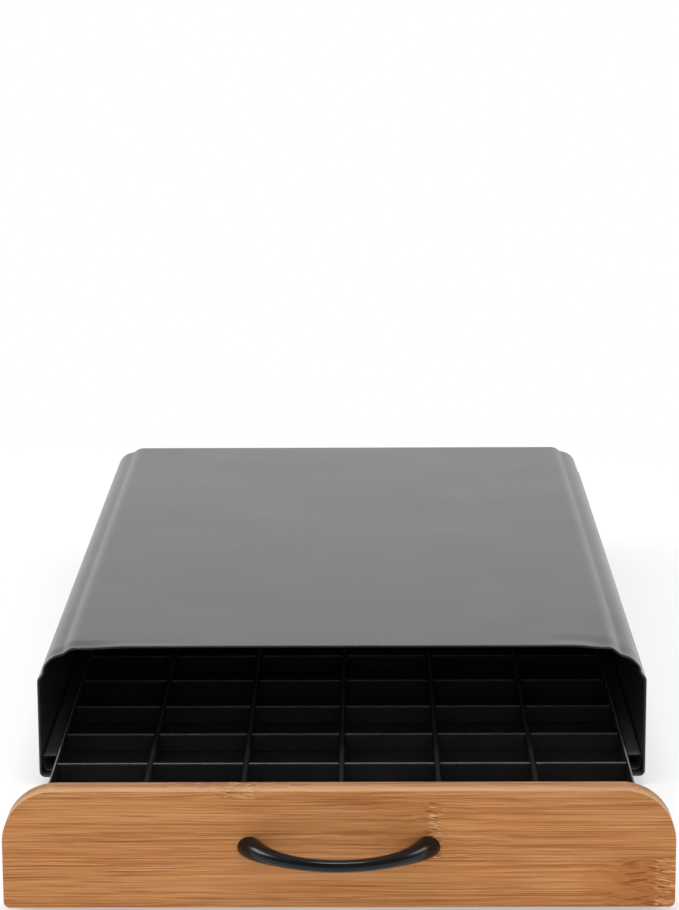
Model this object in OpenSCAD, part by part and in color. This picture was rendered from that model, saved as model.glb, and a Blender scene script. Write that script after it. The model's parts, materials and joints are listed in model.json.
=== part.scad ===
// Coffee pod drawer: a low steel housing that an appliance stands on, with a sliding
// drawer of square cells behind a bamboo front.
// Frame: X to the right, Y to the back, Z up. The drawer slides out along -Y. Z = 0 is the
// surface that the feet stand on, and the origin lies under the middle of the overall box
// with the drawer part open.

/* [Cells] */
// Columns of cells, side by side
cols = 6; // [4:1:8]
// Rows of cells, front to back
rows = 9; // [4:1:12]
// Clear width of a cell
cell_w = 38.6; // [37.5:0.1:42]
// Clear depth of a cell
cell_d = 39.6; // [37.5:0.1:42]
// Height of the dividers above the pan's floor
divider_h = 8; // [6:0.5:16]
// Thickness of a lengthwise divider, a folded strip
long_t = 2; // [1:0.1:3]
// Thickness of a crosswise divider
cross_t = 1; // [0.6:0.1:2]
// Gap between a divider and what it meets
lap_gap = 0.15; // [0.05:0.05:0.3]

/* [Housing] */
// Thickness of the housing's sheet
sheet_t = 1; // [0.8:0.1:1.5]
// Height of the housing, without its feet
housing_h = 58.6; // [50:0.5:80]
// Space between the pan's side and the housing's inner side
side_space = 7.4; // [6:0.1:12]
// Radius of the rounded shoulder, outside
shoulder_r = 11; // [6:0.5:16]
// How far the shoulder is set in from the top and from the side
shoulder_step = 2; // [1:0.1:3]
// Run of the slanted step on each side of the shoulder
step_run = 2.2; // [1.2:0.1:4]
// Outer radius of the bend at the bottom of a side
bottom_r = 2.5; // [1.5:0.1:4]
// Width of the edge that is turned in at the bottom
return_w = 26; // [22:1:40]
// Height of the rear flange plates that the side rivets hold
flange_h = 28; // [20:1:34]
// Depth of those flange plates
flange_d = 14; // [10:1:20]

/* [Feet and braces] */
// Height of a rubber foot
foot_h = 3; // [2:0.5:8]
// Diameter of a foot at its top
foot_d = 16; // [12:1:24]
// How much narrower a foot is where it stands
foot_taper = 1.2; // [0:0.1:3]
// Room all round the rivet head in a foot's recess
recess_room = 0.8; // [0.3:0.1:1.5]
// Width of a cross brace
brace_w = 20; // [18:1:30]
// Thickness of a cross brace
brace_t = 1; // [0.8:0.1:2]
// Distance from the end of the housing to a brace
brace_inset = 22; // [20:1:60]
// Distance from a foot's centre to the side of the housing
foot_inset = 15; // [13:1:20]

/* [Drawer] */
// Thickness of the pan's sheet
pan_t = 1; // [0.8:0.1:1.5]
// Height of the pan's front plate, which carries the board
front_plate_h = 30; // [26:1:36]
// Room for the screw heads between the pan's front plate and the first row
head_room = 2.6; // [2.4:0.1:6]
// How far the drawer stands open in the rest pose
rest_open = 140; // [20:1:200]
// Gap between the board and the housing when the drawer is shut
front_gap = 0.5; // [0.3:0.1:3]
// Room between the pan and the back panel when the drawer is shut
rear_space = 30.5; // [6:0.5:60]

/* [Board] */
// Distance from an end of the board to the side of the housing
board_inset = 3; // [0:0.1:6]
// Height of the board
board_h = 46; // [40:0.2:60]
// Thickness of the board
board_t = 12; // [9:0.5:18]
// How far the board reaches below the housing
board_drop = 0.5; // [0:0.1:2]
// Radius of the upper corners
board_top_r = 20; // [4:1:24]
// Radius of the lower corners
board_low_r = 2.2; // [1:0.1:6]

/* [Handle] */
// Distance between the two handle screws
handle_span = 64; // [48:1:128]
// Distance from the board to the middle of the bar, at the arch
handle_rise = 20.5; // [16:0.5:28]
// Height of the bar at the middle
bar_h = 5.4; // [4:0.1:8]
// Depth of the bar at the middle
bar_d = 5.6; // [4:0.1:8]
// Height of a foot of the handle
paddle_h = 8.6; // [6:0.1:12]
// Depth of the bar where it flares into a foot
paddle_d = 8.8; // [6:0.1:12]
// How far outside its screw the middle of the bar meets the board
handle_overrun = 1.5; // [0:0.1:3]
// How far the handle sits above the board's middle
handle_lift = 1; // [-6:0.1:6]

/* [Runners and glides] */
// Height of a runner channel
runner_h = 7.5; // [6:0.1:10]
// Thickness of the runner's sheet
runner_t = 0.8; // [0.6:0.1:1.2]
// Gap between a runner's legs and the pan's side
runner_gap = 1.2; // [0.5:0.1:3]
// Distance from the front of the housing to a runner
runner_inset = 4; // [2:1:20]
// Distance from the front of the housing to the front stop tab
stop_setback = 50; // [30:1:120]
// Running gap under the pan, where it rides on the front glides
ride_gap = 0.3; // [0.2:0.05:0.5]
// Running gap between a rear glide and its channel
glide_gap = 0.4; // [0.3:0.05:0.8]
// Thickness of a front glide
glide_t = 1.2; // [1:0.1:3]
// Length of a front glide
front_glide_l = 15; // [10:1:18]
// Width of a front glide
front_glide_w = 9; // [7:0.5:14]
// Length of a rear glide
rear_glide_l = 26; // [16:1:40]
// Distance from a rear glide to the back of the cells
rear_glide_inset = 4; // [1:0.5:10]
// Diameter of the pegs that hold the glides
peg_d = 3; // [2:0.1:3.4]
// How far a rear glide's pegs stand out inside the pan
peg_out = 0.8; // [0.3:0.1:1]

/* [Fasteners] */
// Diameter of a wood screw that holds the board
wood_screw_d = 3.5; // [3:0.1:4.5]
// Length of a wood screw under its head
wood_screw_l = 10; // [7:0.5:11]
// Height of the wood screws above the pan's underside
wood_screw_rise = 12; // [10:0.5:16]
// Diameter of a handle screw
handle_screw_d = 4; // [3:0.1:5]
// Depth of a handle screw in the handle
handle_thread = 6; // [4:0.5:7]
// Diameter of a screw head
head_d = 7; // [6:0.1:9]
// Height of a screw head
head_h = 2.2; // [1.5:0.1:3]
// Diameter of a rivet
rivet_d = 3.2; // [2.4:0.1:4.8]
// Diameter of a rivet head
rivet_head_d = 6; // [5:0.1:8]
// Height of a rivet head
rivet_head_h = 0.9; // [0.5:0.1:1]
// Diameter of a rivet's formed end
rivet_end_d = 5; // [4:0.1:7]
// Clearance all round a screw in a hole of sheet metal
hole_gap = 0.3; // [0.1:0.05:0.5]
// Clearance all round a rivet, peg or thread in its own hole
snug_gap = 0.05; // [0.02:0.01:0.1]

/* [Hidden] */
$fn = 48;
eps = 0.5;
quarters = [0.25, 0.75];

// Pan and cells, across
pitch_x = cell_w + long_t;
pitch_y = cell_d + cross_t;
inner_w = cols * cell_w + (cols - 1) * long_t;
inner_d = head_room + rows * cell_d + (rows - 1) * cross_t;
pan_w = inner_w + 2 * pan_t;
pan_d = inner_d + 2 * pan_t;

// Housing
housing_w = pan_w + 2 * side_space + 2 * sheet_t;
housing_d = pan_d - front_gap + rear_space + sheet_t;
half_w = housing_w / 2;
wall_x = half_w - sheet_t;
board_w = housing_w - 2 * board_inset;

// Overall place along Y, with the drawer part open
reach = front_gap + rest_open + board_t + handle_rise + bar_d / 2;
housing_y = (reach - housing_d) / 2;
housing_back = housing_y + housing_d;

// Heights
under_z = foot_h + brace_t;
return_z = under_z + sheet_t;
top_z = under_z + housing_h;
pan_z = return_z + glide_t + ride_gap;
floor_z = pan_z + pan_t;
lap_z = floor_z + divider_h / 2;
rim_z = floor_z + divider_h;
board_z = under_z - board_drop;
handle_z = board_z + board_h / 2 + handle_lift;

// Places along Y of the drawer's pieces at rest
pan_y = housing_y - front_gap - rest_open;
front_y = pan_y + pan_t;
cells_y = front_y + head_room;
pan_back = pan_y + pan_d;
board_y = pan_y - board_t;

// Runners and the glides in them
runner_z = return_z;
runner_in = pan_w / 2 + runner_gap;
channel_low = runner_z + runner_t + glide_gap;
channel_high = runner_z + runner_h - runner_t - glide_gap;
rear_glide_x = wall_x - runner_t - glide_gap;
glide_r = max(0.1, bottom_r - runner_t - glide_gap);
rear_glide_y = pan_back - pan_t - rear_glide_inset - rear_glide_l;
shut_y = rear_glide_y + rear_glide_l + rest_open + ride_gap;
peg_z = floor_z + peg_d / 2 + ride_gap;
front_glide_x = pan_w / 2 - pan_t - front_glide_w / 2;
front_glide_y = housing_y + runner_inset / 2;

// Fasteners
side_rivet_y = housing_back - sheet_t - flange_d / 2;
flange_x = wall_x - lap_gap - sheet_t;
flange_z = runner_z + runner_h + sheet_t;
side_rivet_zs = [for (q = quarters) flange_z + q * flange_h];
foot_x = half_w - foot_inset;
brace_ys = [housing_y + brace_inset, housing_back - brace_inset - brace_w];
foot_ys = [for (y = brace_ys) y + brace_w / 2];
recess_z = foot_h / 2;
wood_screw_xs = [for (k = [0.5, 1.5, cols - 1.5, cols - 0.5]) (k - cols / 2) * pitch_x];
wood_screw_z = pan_z + wood_screw_rise;
handle_xs = [-handle_span / 2, handle_span / 2];
handle_screw_l = pan_t + board_t + handle_thread;
head_flat_d = 0.7 * head_d;
cross_l = head_d / 2;
cross_w = head_d / 8;
cross_deep = 0.4 * head_h;

// Middle line of the handle: an arc that meets the board a little outside the screws, and
// runs on into it by some degrees before it is cut off at the board's face
bar_x = handle_span / 2 + handle_overrun;
arc_r = (bar_x * bar_x + handle_rise * handle_rise) / (2 * handle_rise);
arc_meets = asin(bar_x / arc_r);
arc_end = arc_meets + 9;
ring_n = 24;
ring_steps = 40;

black = [0.06, 0.06, 0.065];
dark = [0.12, 0.12, 0.12];
zinc = [0.72, 0.73, 0.75];

// ---- helpers ----

// Points of an arc about c, from angle a to angle b
function arc(c, r, a, b, n = 8) =
  [for (i = [0 : n]) let (t = a + (b - a) * i / n) [c[0] + r * cos(t), c[1] + r * sin(t)]];

function unit(v) = v / norm(v);
function left_of(v) = [-v[1], v[0]];

// The path moved sideways by d, with mitred corners
function shifted(path, d) =
  [for (i = [0 : len(path) - 1])
    let (
      before = i > 0 ? left_of(unit(path[i] - path[i - 1])) : undef,
      after = i < len(path) - 1 ? left_of(unit(path[i + 1] - path[i])) : undef,
      n1 = i > 0 ? before : after,
      n2 = i < len(path) - 1 ? after : before
    )
    path[i] + d * (n1 + n2) / (1 + n1 * n2)];

function reversed(list) = [for (i = [len(list) - 1 : -1 : 0]) list[i]];
function tail(list) = [for (i = [1 : len(list) - 1]) list[i]];
function mirrored(path) = [for (p = reversed(path)) [-p[0], p[1]]];

// Right half of the housing's outline, from the middle of the top down to the turned-in edge
function half_outline() =
  let (
    arc_c = [half_w - shoulder_step - shoulder_r, top_z - shoulder_step - shoulder_r],
    low_c = [half_w - bottom_r, under_z + bottom_r]
  )
  concat(
    [[arc_c[0] - step_run, top_z]],
    arc(arc_c, shoulder_r, 90, 0),
    [[half_w, arc_c[1] - step_run]],
    arc(low_c, bottom_r, 0, -90, 5)
  );

// An upright extrusion in Y of an XZ outline, from y to y + d
module along_y(y, d) {
  translate([0, y + d, 0]) rotate([90, 0, 0]) linear_extrude(d) children();
}

// A rod along X from x, one along Y from y
module rod_x(x, l, d) {
  translate([x, 0, 0]) rotate([0, 90, 0]) cylinder(h = l, d = d);
}
module rod_y(y, l, d) {
  translate([0, y, 0]) rotate([-90, 0, 0]) cylinder(h = l, d = d);
}

// Copies for both sides
module both_sides() {
  for (side = [0, 1]) mirror([side, 0, 0]) children();
}

// ---- housing ----

module housing_shell() {
  half = concat(half_outline(), [[half_w - return_w, under_z]]);
  path = concat(mirrored(half), half);
  color(black) difference() {
    along_y(housing_y, housing_d) polygon(concat(path, reversed(shifted(path, -sheet_t))));
    foot_rivet_holes();
    side_rivet_holes();
    both_sides() front_glide_peg(2 * snug_gap);
  }
}

// A plate that closes the back, with a flange on each side for the rivets
module back_panel() {
  outside = concat([[0, top_z]], half_outline(), [[half_w - return_w, under_z]]);
  half = tail(shifted(outside, -sheet_t - lap_gap));
  color(black) difference() {
    union() {
      along_y(housing_back - sheet_t, sheet_t) polygon(concat(half, mirrored(half)));
      both_sides() translate([flange_x, housing_back - flange_d - sheet_t, flange_z])
        cube([sheet_t, flange_d + eps, flange_h]);
    }
    side_rivet_holes();
  }
}

module side_rivet_holes() {
  for (z = side_rivet_zs) both_sides() translate([0, side_rivet_y, z])
    rod_x(flange_x - eps, half_w - flange_x + 2 * eps, rivet_d + 2 * snug_gap);
}

module side_rivets() {
  color(dark) for (z = side_rivet_zs) both_sides() translate([0, side_rivet_y, z]) {
    rod_x(flange_x, half_w - flange_x, rivet_d);
    rod_x(flange_x - rivet_head_h, rivet_head_h, rivet_end_d);
    rod_x(half_w, rivet_head_h, rivet_head_d);
  }
}

// A channel along the inside of a wall, open towards the pan, with a stop tab at each end
// of the rear glide's way
module runner() {
  bend = arc([wall_x - bottom_r, runner_z + bottom_r], bottom_r, -90, 0, 5);
  legs = [[runner_in, runner_z], [wall_x, runner_z + runner_h], [runner_in, runner_z + runner_h]];
  path = concat([legs[0]], bend, [legs[1], legs[2]]);
  color(dark) {
    along_y(housing_y + runner_inset, housing_d - runner_inset - sheet_t - lap_gap)
      polygon(concat(path, reversed(shifted(path, runner_t))));
    for (y = [housing_y + stop_setback, shut_y]) along_y(y, runner_t) polygon(path);
  }
}

module runner_right() { runner(); }
module runner_left() { mirror([1, 0, 0]) runner(); }

module brace(y) {
  color(black) difference() {
    translate([bottom_r - half_w, y, foot_h]) cube([housing_w - 2 * bottom_r, brace_w, brace_t]);
    foot_rivet_holes();
  }
}

module front_brace() { brace(brace_ys[0]); }
module rear_brace() { brace(brace_ys[1]); }

// ---- feet ----

module at_feet() {
  for (y = foot_ys) both_sides() translate([foot_x, y, 0]) children();
}

module foot_rivet_holes() {
  at_feet() cylinder(h = return_z + eps, d = rivet_d + 2 * snug_gap);
}

// A slightly tapered rubber foot with a recess that hides the rivet's head
module foot(x, y) {
  color([0.08, 0.08, 0.08]) translate([x, y, 0]) difference() {
    cylinder(h = foot_h, d1 = foot_d - foot_taper, d2 = foot_d);
    translate([0, 0, -eps]) cylinder(h = recess_z + eps, d = rivet_head_d + 2 * recess_room);
    cylinder(h = foot_h + eps, d = rivet_d + 2 * snug_gap);
  }
}

module foot_front_left() { foot(-foot_x, foot_ys[0]); }
module foot_front_right() { foot(foot_x, foot_ys[0]); }
module foot_rear_left() { foot(-foot_x, foot_ys[1]); }
module foot_rear_right() { foot(foot_x, foot_ys[1]); }

module foot_rivets() {
  color(zinc) at_feet() {
    translate([0, 0, recess_z - rivet_head_h]) cylinder(h = rivet_head_h, d = rivet_head_d);
    translate([0, 0, recess_z]) cylinder(h = return_z - recess_z, d = rivet_d);
    translate([0, 0, return_z]) cylinder(h = glide_t - ride_gap, d = rivet_end_d);
  }
}

// ---- glides ----

module front_glide_peg(extra = 0) {
  translate([front_glide_x, front_glide_y + front_glide_l / 2, under_z - extra])
    cylinder(h = sheet_t + 2 * extra, d = peg_d + extra);
}

module front_glide() {
  color([0.85, 0.85, 0.82]) {
    translate([front_glide_x - front_glide_w / 2, front_glide_y, return_z])
      cube([front_glide_w, front_glide_l, glide_t]);
    front_glide_peg();
  }
}

module front_glide_right() { front_glide(); }
module front_glide_left() { mirror([1, 0, 0]) front_glide(); }

// Pegs of a rear glide, through the pan's side wall
module rear_glide_pegs(extra = 0) {
  for (q = quarters) translate([0, rear_glide_y + q * rear_glide_l, peg_z])
    rod_x(pan_w / 2 - pan_t - peg_out, pan_t + peg_out + eps, peg_d + extra);
}

// A block whose lower outer corner follows the bend of the channel
module rear_glide() {
  bend = arc([rear_glide_x - glide_r, channel_low + glide_r], glide_r, -90, 0, 5);
  inside = [[rear_glide_x, channel_high], [pan_w / 2, channel_high], [pan_w / 2, channel_low]];
  color([0.85, 0.85, 0.82]) {
    along_y(rear_glide_y, rear_glide_l) polygon(concat(bend, inside));
    rear_glide_pegs();
  }
}

module rear_glide_right() { rear_glide(); }
module rear_glide_left() { mirror([1, 0, 0]) rear_glide(); }

// ---- drawer ----

// Floor and side walls, bent from one sheet
module drawer_pan() {
  color(black) difference() {
    translate([-pan_w / 2, front_y, pan_z]) cube([pan_w, inner_d, rim_z - pan_z]);
    translate([-inner_w / 2, front_y - eps, floor_z]) cube([inner_w, inner_d + 2 * eps, rim_z]);
    both_sides() rear_glide_pegs(2 * snug_gap);
  }
}

// The end plates are welded to the pan's front and back edges
module pan_front_plate() {
  color(black) difference() {
    translate([-pan_w / 2, pan_y, pan_z]) cube([pan_w, pan_t, front_plate_h]);
    at_wood_screws() rod_y(pan_y - eps, pan_t + 2 * eps, wood_screw_d + 2 * hole_gap);
    at_handle_screws() rod_y(pan_y - eps, pan_t + 2 * eps, handle_screw_d + 2 * hole_gap);
  }
}

module pan_back_plate() {
  color(black) translate([-pan_w / 2, pan_back - pan_t, pan_z])
    cube([pan_w, pan_t, rim_z - pan_z]);
}

// The dividers lap each other at half their height
function long_x(k) = (k - cols / 2) * pitch_x;
function cross_y(k) = cells_y + k * pitch_y - cross_t / 2;

// Lengthwise divider k, notched from below
module long_divider(k) {
  color(black) difference() {
    translate([long_x(k) - long_t / 2, front_y + lap_gap, floor_z])
      cube([long_t, inner_d - 2 * lap_gap, divider_h]);
    for (j = [1 : rows - 1])
      translate([long_x(k) - long_t, cross_y(j) - cross_t / 2 - lap_gap, floor_z - eps])
        cube([2 * long_t, cross_t + 2 * lap_gap, lap_z - floor_z + eps + lap_gap]);
  }
}

// Crosswise divider j, notched from above
module cross_divider(j) {
  color(black) difference() {
    translate([lap_gap - inner_w / 2, cross_y(j) - cross_t / 2, floor_z])
      cube([inner_w - 2 * lap_gap, cross_t, divider_h]);
    for (k = [1 : cols - 1])
      translate([long_x(k) - long_t / 2 - lap_gap, cross_y(j) - cross_t, lap_z])
        cube([long_t + 2 * lap_gap, 2 * cross_t, divider_h]);
  }
}

// ---- board ----

module at_wood_screws() {
  for (x = wood_screw_xs) translate([x, 0, wood_screw_z]) children();
}

module at_handle_screws() {
  for (x = handle_xs) translate([x, 0, handle_z]) children();
}

module bamboo_front() {
  top_c = [board_w / 2 - board_top_r, board_z + board_h - board_top_r];
  low_c = [board_w / 2 - board_low_r, board_z + board_low_r];
  half = concat(arc(top_c, board_top_r, 90, 0, 12), arc(low_c, board_low_r, 0, -90, 4));
  color([0.78, 0.55, 0.33]) difference() {
    along_y(board_y, board_t) polygon(concat(half, mirrored(half)));
    at_wood_screws()
      rod_y(pan_y - wood_screw_l + pan_t - eps, wood_screw_l + eps, wood_screw_d + 2 * snug_gap);
    at_handle_screws() rod_y(board_y - eps, board_t + 2 * eps, handle_screw_d + 2 * hole_gap);
  }
}

// A pan-head screw that points to the front, its head against the pan's front plate
module front_screw(length, d) {
  color(zinc) {
    rod_y(front_y - length, length, d);
    difference() {
      translate([0, front_y, 0]) rotate([-90, 0, 0])
        cylinder(h = head_h, d1 = head_d, d2 = head_flat_d);
      for (turn = [0, 90]) translate([0, front_y + head_h - cross_deep, 0]) rotate([0, turn, 0])
        translate([-cross_l / 2, 0, -cross_w / 2]) cube([cross_l, head_h, cross_w]);
    }
  }
}

module front_screws() { at_wood_screws() front_screw(wood_screw_l, wood_screw_d); }
module handle_screws() { at_handle_screws() front_screw(handle_screw_l, handle_screw_d); }

// ---- handle ----

// How far the bar has flared, from 0 at the middle to 1 where it meets the board
function flare(a) = pow(min(1, abs(a) / arc_meets), 3);

// One oval ring of the bar, at angle a along the arc
function bar_ring(a) =
  let (
    deep = (bar_d + (paddle_d - bar_d) * flare(a)) / 2,
    high = (bar_h + (paddle_h - bar_h) * flare(a)) / 2
  )
  [for (i = [0 : ring_n - 1])
    let (t = 360 * i / ring_n, r = arc_r + deep * cos(t))
    [r * sin(a), board_y + arc_r - handle_rise - r * cos(a), handle_z + high * sin(t)]];

module bar() {
  points = [for (s = [0 : ring_steps]) each bar_ring(-arc_end + 2 * arc_end * s / ring_steps)];
  sides = [for (s = [0 : ring_steps - 1], i = [0 : ring_n - 1])
    let (a = s * ring_n + i, b = s * ring_n + (i + 1) % ring_n)
    [a, b, b + ring_n, a + ring_n]];
  ends = [
    [for (i = [ring_n - 1 : -1 : 0]) i],
    [for (i = [0 : ring_n - 1]) ring_steps * ring_n + i]
  ];
  polyhedron(points, concat(sides, ends));
}

module handle() {
  color(dark) difference() {
    bar();
    translate([-board_w / 2, board_y, board_z]) cube([board_w, board_t, board_h]);
    at_handle_screws()
      rod_y(board_y - handle_thread - hole_gap, handle_thread + eps, handle_screw_d + 2 * snug_gap);
  }
}

housing_shell();
back_panel();
side_rivets();
runner_left();
runner_right();
front_brace();
rear_brace();
foot_front_left();
foot_front_right();
foot_rear_left();
foot_rear_right();
foot_rivets();
front_glide_left();
front_glide_right();
drawer_pan();
pan_front_plate();
pan_back_plate();
rear_glide_left();
rear_glide_right();
for (k = [1 : cols - 1])
  long_divider(k);
for (j = [1 : rows - 1])
  cross_divider(j);
bamboo_front();
front_screws();
handle();
handle_screws();
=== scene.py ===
# Coffee pod drawer, open by 140 mm: a bent steel housing, a divided tray and a bamboo front.
# Every piece takes its place from the frame's own boxes, so it stays where the frame says.
import json
import math

import bmesh
import bpy
from mathutils import Matrix, Vector


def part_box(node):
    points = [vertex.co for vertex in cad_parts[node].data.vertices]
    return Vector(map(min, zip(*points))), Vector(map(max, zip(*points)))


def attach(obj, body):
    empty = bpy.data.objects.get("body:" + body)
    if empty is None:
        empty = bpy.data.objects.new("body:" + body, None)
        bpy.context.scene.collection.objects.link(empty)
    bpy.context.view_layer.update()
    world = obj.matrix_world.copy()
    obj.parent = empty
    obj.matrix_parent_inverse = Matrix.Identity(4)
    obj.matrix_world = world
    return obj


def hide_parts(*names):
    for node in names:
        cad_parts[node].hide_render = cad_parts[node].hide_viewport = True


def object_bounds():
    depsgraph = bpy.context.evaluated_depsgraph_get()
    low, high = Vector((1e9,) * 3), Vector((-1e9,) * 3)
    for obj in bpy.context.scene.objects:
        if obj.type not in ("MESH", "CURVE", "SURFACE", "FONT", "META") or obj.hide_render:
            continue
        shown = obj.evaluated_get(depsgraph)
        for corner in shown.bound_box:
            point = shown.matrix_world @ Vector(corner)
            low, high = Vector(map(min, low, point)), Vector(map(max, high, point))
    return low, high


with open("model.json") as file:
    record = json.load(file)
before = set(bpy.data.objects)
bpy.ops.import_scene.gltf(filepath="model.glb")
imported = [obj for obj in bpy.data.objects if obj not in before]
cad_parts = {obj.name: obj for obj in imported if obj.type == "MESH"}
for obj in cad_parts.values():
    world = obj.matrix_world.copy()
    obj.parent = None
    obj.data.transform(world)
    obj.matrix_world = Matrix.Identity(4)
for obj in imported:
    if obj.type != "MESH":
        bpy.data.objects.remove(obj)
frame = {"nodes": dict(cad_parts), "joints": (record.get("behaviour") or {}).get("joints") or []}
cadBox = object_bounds()
mm = 0.001
tiny = 0.001 * mm
print("frame loaded,", len(frame["nodes"]), "nodes")

camera = {
    "lens": 115.5,  # mm, on a sensor of 36 mm
    "place": (10.86, -1309.12, 407.09),  # mm
    "tilt": 12.32,  # degrees below the horizon
    "turn": -0.539,  # degrees to the right
    "roll": 0.287,  # degrees
    "nearest": 0.01,  # metres, what is closer isn't drawn
}


def placed(name, data):
    # a new object in the scene
    made = bpy.data.objects.new(name, data)
    bpy.context.scene.collection.objects.link(made)
    return made


def setCamera():
    tilt, turn, roll = [math.radians(camera[angle]) for angle in ("tilt", "turn", "roll")]
    flat = Vector((math.sin(turn), math.cos(turn), 0)) * math.cos(tilt)
    ahead = flat - Vector((0, 0, math.sin(tilt)))
    right = Vector((math.cos(turn), -math.sin(turn), 0))
    down = ahead.cross(right)
    side = right * math.cos(roll) + down * math.sin(roll)
    up = right * math.sin(roll) - down * math.cos(roll)
    turned = Matrix((side, up, -ahead)).transposed().to_4x4()
    lens = bpy.data.cameras.new("camera")
    lens.lens = camera["lens"]
    lens.clip_start = camera["nearest"]
    eye = placed("camera", lens)
    eye.matrix_world = Matrix.Translation(Vector(camera["place"]) * mm) @ turned
    bpy.context.scene.camera = eye


setCamera()
print("camera set")


class Wire:
    # one shader socket; sums and products on it add Math nodes
    def __init__(self, recipe, socket):
        self.recipe = recipe
        self.socket = socket

    def out(self, name):
        return Wire(self.recipe, self.socket.node.outputs[name])

    def __add__(self, other):
        return self.recipe.maths("ADD", self, other)

    def __radd__(self, other):
        return self.recipe.maths("ADD", other, self)

    def __sub__(self, other):
        return self.recipe.maths("SUBTRACT", self, other)

    def __mul__(self, other):
        return self.recipe.maths("MULTIPLY", self, other)

    def __truediv__(self, other):
        return self.recipe.maths("DIVIDE", self, other)


class Recipe:
    # a node tree, filled by one method
    def __init__(self, tree):
        self.tree = tree
        self.tree.nodes.clear()

    def add(self, kind, inputs=None, output=0, **settings):
        # kind is the node's type without its prefix
        made = self.tree.nodes.new("ShaderNode" + kind)
        for name, value in settings.items():
            setattr(made, name, value)
        for name, value in (inputs or {}).items():
            if isinstance(value, Wire):
                self.tree.links.new(value.socket, made.inputs[name])
            else:
                made.inputs[name].default_value = value
        if made.outputs:
            return Wire(self, made.outputs[output])

    def maths(self, operation, *values):
        return self.add("Math", dict(enumerate(values)), operation=operation)

    def place(self):
        # the point's place in mm
        return self.stretched(self.add("TexCoord", output="Object"), (1000, 1000, 1000))

    def split(self, vector):
        parts = self.add("SeparateXYZ", {0: vector})
        return [parts.out(axis) for axis in "XYZ"]

    def joined(self, x, y, z):
        return self.add("CombineXYZ", {0: x, 1: y, 2: z})

    def stretched(self, vector, scale):
        return self.add("VectorMath", {0: vector, 1: scale}, operation="MULTIPLY")

    def noise(self, vector, scale, detail, rough=0.5):
        # scale is in waves per mm
        sizes = {"Vector": vector, "Scale": scale, "Detail": detail, "Roughness": rough}
        return self.add("TexNoise", sizes)

    def noiseAt(self, x, y, z, detail, rough=0.5):
        # each axis brings its own scale
        return self.noise(self.joined(x, y, z), 1.0, detail, rough)

    def size(self, value):
        return self.maths("ABSOLUTE", value)

    def between(self, value, low, high, start=0.0, end=1.0):
        # value runs from low to high, the result from start to end, with soft ends
        sizes = {0: value, 1: low, 2: high, 3: start, 4: end}
        return self.add("MapRange", sizes, interpolation_type="SMOOTHSTEP")

    def mix(self, share, first, second, blend="MIX"):
        tones = {0: share, 6: first, 7: second}
        return self.add("Mix", tones, output=2, data_type="RGBA", blend_type=blend)


def paint(red, green, blue, shade=1.0):
    return (red * shade, green * shade, blue * shade, 1)


class Finish(Recipe):
    # a material on one Principled shader
    def __init__(self, name, slot, **constants):
        self.material = bpy.data.materials.new(name)
        self.material.use_nodes = True
        super().__init__(self.material.node_tree)
        self.slot = slot
        fixed = {name.replace("_", " "): value for name, value in constants.items()}
        shader = self.add("BsdfPrincipled", fixed)
        self.add("OutputMaterial", {"Surface": shader})
        self.inlets = shader.socket.node.inputs

    def coated(self, tone, roughness, height, depth):
        # joins the parts of the coat to the shader; depth is the relief's, in mm
        sizes = {"Strength": 1.0, "Distance": depth * mm, "Height": height}
        relief = self.add("Bump", sizes)
        for name, wire in (("Base Color", tone), ("Roughness", roughness), ("Normal", relief)):
            self.tree.links.new(wire.socket, self.inlets[name])
        return self


blackPaint = {
    "colour": (0.0120, 0.0120, 0.0124),
    "thin": (0.0180, 0.0180, 0.0184),  # where the coat is thinner
    "dust": (0.070, 0.070, 0.069),
    "wornRimHighlight": (0.270, 0.265, 0.255),  # where a rim is rubbed down to the primer, also a painted highlight along the rims
    "peel": 0.52,  # waves of the orange peel in a mm
    "peelDepth": 0.010,  # mm
    "rim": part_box("drawer_pan")[1].z / mm,  # height of the tray's rims
    "rubbedWide": 0.4,  # mm, the outer part of the tray's rims that is rubbed and carries a painted highlight
}


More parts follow.
